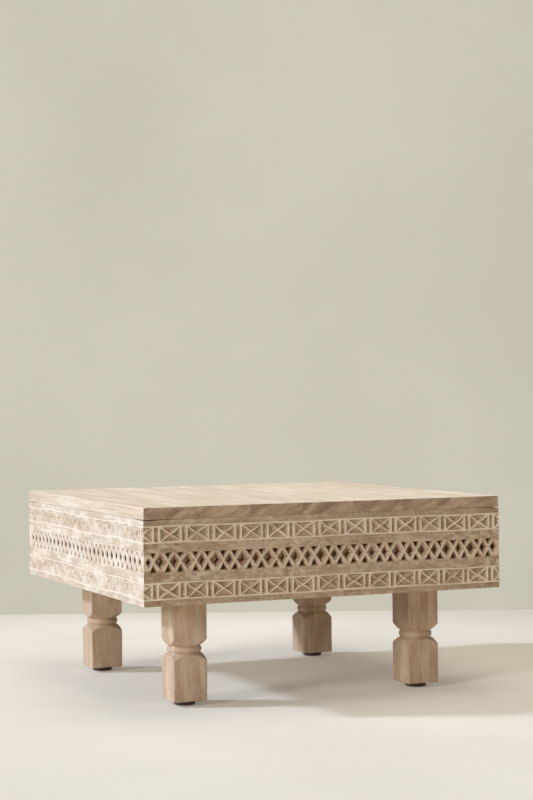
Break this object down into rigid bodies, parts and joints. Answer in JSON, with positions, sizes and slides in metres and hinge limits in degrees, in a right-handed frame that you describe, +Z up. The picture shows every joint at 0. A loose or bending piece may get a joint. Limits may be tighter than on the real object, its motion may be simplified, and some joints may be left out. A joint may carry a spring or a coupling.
{
  "type": "low table",
  "caption": "Low square table with a planked top, chip-carved and pierced lattice sides, turned legs and screw-out glides.",
  "frame": {"origin": "on the floor, under the middle of the table", "axes": "+Z up; the front faces -Y; the top boards run along Y"},
  "size_m": [0.914, 0.914, 0.4698],
  "materials": {
    "top_wood": "matt, washed pale",
    "carved_wood": "matt, washed, worn pale on the ridges",
    "leg_wood": "matt, washed",
    "frame_wood": "bare, sawn",
    "zinc_steel": "zinc plated",
    "insert_brass": "dull",
    "glide_plastic": "moulded, matt"
  },
  "bodies": {
    "table": {"top_board_1": "top_wood", "top_board_2": "top_wood", "top_board_3": "top_wood", "top_board_4": "top_wood", "top_board_5": "top_wood", "top_board_6": "top_wood", "top_board_7": "top_wood", "apron_front": "carved_wood", "apron_right": "carved_wood", "apron_back": "carved_wood", "apron_left": "carved_wood", "cleat_front": "frame_wood", "cleat_back": "frame_wood", "cleat_left": "frame_wood", "cleat_right": "frame_wood", "batten_front": "frame_wood", "batten_back": "frame_wood", "bearer_left": "frame_wood", "bearer_right": "frame_wood", "corner_block_front_left": "frame_wood", "corner_block_front_right": "frame_wood", "corner_block_back_left": "frame_wood", "corner_block_back_right": "frame_wood", "ledger_front_left": "frame_wood", "ledger_front_right": "frame_wood", "ledger_back_left": "frame_wood", "ledger_back_right": "frame_wood", "leg_front_left": "leg_wood", "glide_insert_front_left": "insert_brass", "hanger_bolt_front_left": "zinc_steel", "washer_front_left": "zinc_steel", "nut_front_left": "zinc_steel", "leg_front_right": "leg_wood", "glide_insert_front_right": "insert_brass", "hanger_bolt_front_right": "zinc_steel", "washer_front_right": "zinc_steel", "nut_front_right": "zinc_steel", "leg_back_left": "leg_wood", "glide_insert_back_left": "insert_brass", "hanger_bolt_back_left": "zinc_steel", "washer_back_left": "zinc_steel", "nut_back_left": "zinc_steel", "leg_back_right": "leg_wood", "glide_insert_back_right": "insert_brass", "hanger_bolt_back_right": "zinc_steel", "washer_back_right": "zinc_steel", "nut_back_right": "zinc_steel"},
    "pad_front_left": {"glide_pad_front_left": "glide_plastic"},
    "stem_front_left": {"glide_stem_front_left": "zinc_steel"},
    "pad_front_right": {"glide_pad_front_right": "glide_plastic"},
    "stem_front_right": {"glide_stem_front_right": "zinc_steel"},
    "pad_back_left": {"glide_pad_back_left": "glide_plastic"},
    "stem_back_left": {"glide_stem_back_left": "zinc_steel"},
    "pad_back_right": {"glide_pad_back_right": "glide_plastic"},
    "stem_back_right": {"glide_stem_back_right": "zinc_steel"}
  },
  "joints": [
    {"name": "pad_front_left_out", "type": "slide", "parent": "table", "child": "pad_front_left", "axis": [0, 0, -1], "range_m": [0, 0.01]},
    {"name": "pad_front_right_out", "type": "slide", "parent": "table", "child": "pad_front_right", "axis": [0, 0, -1], "range_m": [0, 0.01]},
    {"name": "pad_back_left_out", "type": "slide", "parent": "table", "child": "pad_back_left", "axis": [0, 0, -1], "range_m": [0, 0.01]},
    {"name": "pad_back_right_out", "type": "slide", "parent": "table", "child": "pad_back_right", "axis": [0, 0, -1], "range_m": [0, 0.01]},
    {"name": "stem_front_left_turn", "type": "hinge", "parent": "pad_front_left", "child": "stem_front_left", "pos_m": [-0.304, -0.304, 0.008], "axis": [0, 0, -1], "range_deg": [0, 2880]},
    {"name": "stem_front_right_turn", "type": "hinge", "parent": "pad_front_right", "child": "stem_front_right", "pos_m": [0.304, -0.304, 0.008], "axis": [0, 0, -1], "range_deg": [0, 2880]},
    {"name": "stem_back_left_turn", "type": "hinge", "parent": "pad_back_left", "child": "stem_back_left", "pos_m": [-0.304, 0.304, 0.008], "axis": [0, 0, -1], "range_deg": [0, 2880]},
    {"name": "stem_back_right_turn", "type": "hinge", "parent": "pad_back_right", "child": "stem_back_right", "pos_m": [0.304, 0.304, 0.008], "axis": [0, 0, -1], "range_deg": [0, 2880]}
  ],
  "couplings": [
    {"joint": "stem_front_left_turn", "follows": "pad_front_left_out", "rad_per_m": 5026.5},
    {"joint": "stem_front_right_turn", "follows": "pad_front_right_out", "rad_per_m": 5026.5},
    {"joint": "stem_back_left_turn", "follows": "pad_back_left_out", "rad_per_m": 5026.5},
    {"joint": "stem_back_right_turn", "follows": "pad_back_right_out", "rad_per_m": 5026.5}
  ]
}
